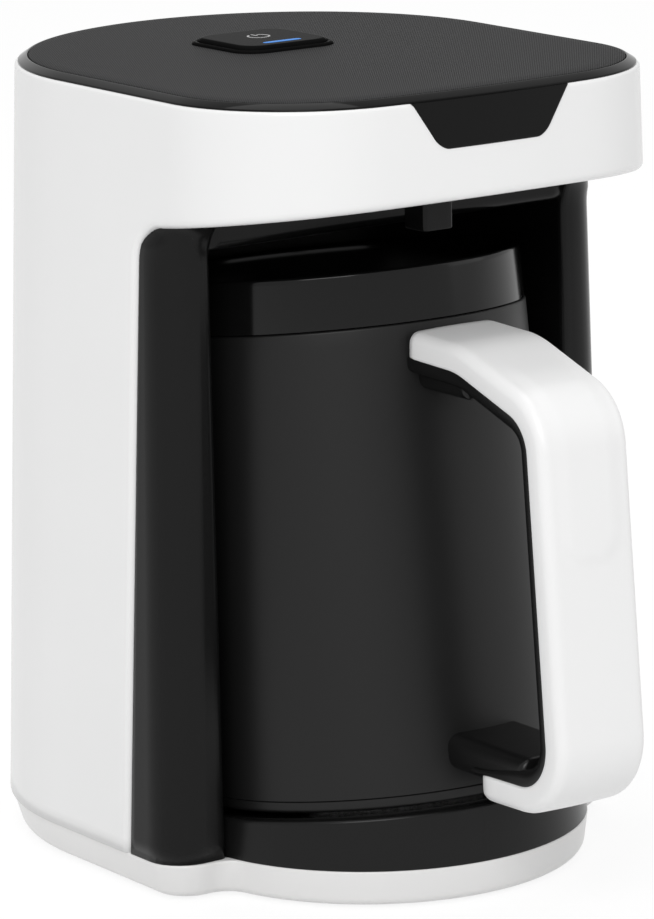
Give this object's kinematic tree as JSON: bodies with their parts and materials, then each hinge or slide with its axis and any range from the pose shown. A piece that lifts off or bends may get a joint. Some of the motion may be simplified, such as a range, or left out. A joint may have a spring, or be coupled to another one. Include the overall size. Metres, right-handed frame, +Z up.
{
  "type": "electric turkish coffee maker",
  "caption": "Small kitchen coffee maker with a lift-out handled pot on a tilted hot plate, a C-shaped housing with an overhanging head and a lit start button on top.",
  "frame": {"origin": "on the table, in the symmetry plane, at the middle of the whole depth", "axes": "+X to the right seen from the front, -Y towards the user and the pot's handle, +Z up"},
  "size_m": [0.1602, 0.241, 0.2323],
  "materials": {
    "white_gloss": "gloss",
    "black_liner": "gloss",
    "black_gloss": "high gloss",
    "panel_textured": "fine moulded texture",
    "tray_black": "satin",
    "rubber": "matte",
    "plate_steel": "brushed",
    "heater_alloy": "satin",
    "thermostat_body": "matte",
    "spring_steel": "bright",
    "part_plastic": "matte",
    "winding": "lacquered",
    "board_green": "satin",
    "led_lens": "clear",
    "light_blue": "clear",
    "mark_grey": "matte",
    "wire_sleeve": "matte",
    "pot_black": "satin",
    "collar_gloss": "gloss",
    "handle_white": "satin",
    "handle_black": "satin"
  },
  "bodies": {
    "machine": {"body_shell": "white_gloss", "niche_liner": "black_liner", "base_plinth": "white_gloss", "pot_tray": "tray_black", "plate_seal": "rubber", "heating_plate": "plate_steel", "heating_element": "heater_alloy", "element_cover": "plate_steel", "thermostat": "thermostat_body", "thermal_fuse": "thermostat_body", "top_frame": "black_gloss", "top_panel": "panel_textured", "button_bezel": "black_gloss", "button_spring": "spring_steel", "button_switch": "part_plastic", "indicator_led": "led_lens", "control_board": "board_green", "board_screws": "spring_steel", "mains_relay": "part_plastic", "smoothing_capacitor": "part_plastic", "supply_inductor": "winding", "buzzer": "part_plastic", "board_terminal": "part_plastic", "wire_harness": "wire_sleeve", "heater_terminal": "thermostat_body", "mains_lead": "wire_sleeve", "mains_terminal": "part_plastic", "cord_gland": "black_gloss", "cord_clamp": "black_liner", "clamp_bar": "black_liner", "clamp_screws": "spring_steel", "sensor_housing": "black_liner", "sensor_window": "led_lens", "level_sensor": "spring_steel", "rubber_feet": "rubber", "base_screws": "spring_steel", "screw_bosses": "black_liner"},
    "button": {"button_cap": "black_gloss", "button_light_bar": "light_blue", "button_icon": "mark_grey"},
    "pot": {"pot_base_ring": "pot_black", "pot_base_plate": "plate_steel", "pot_jacket": "pot_black", "pot_bowl": "plate_steel", "pot_collar": "collar_gloss", "pot_seal": "rubber", "handle_shell": "handle_white", "handle_lining": "handle_black", "handle_screws": "spring_steel"}
  },
  "joints": [
    {"name": "pot_pull", "type": "slide", "parent": "machine", "child": "pot", "axis": [0, -0.9925, 0.1219], "range_m": [0, 0.2]},
    {"name": "start_button", "type": "slide", "parent": "machine", "child": "button", "axis": [0, 0, -1], "range_m": [0, 0.0015], "stiffness_N_per_m": 900, "springref_m": -0.0008, "deforming": ["button_spring"]}
  ]
}
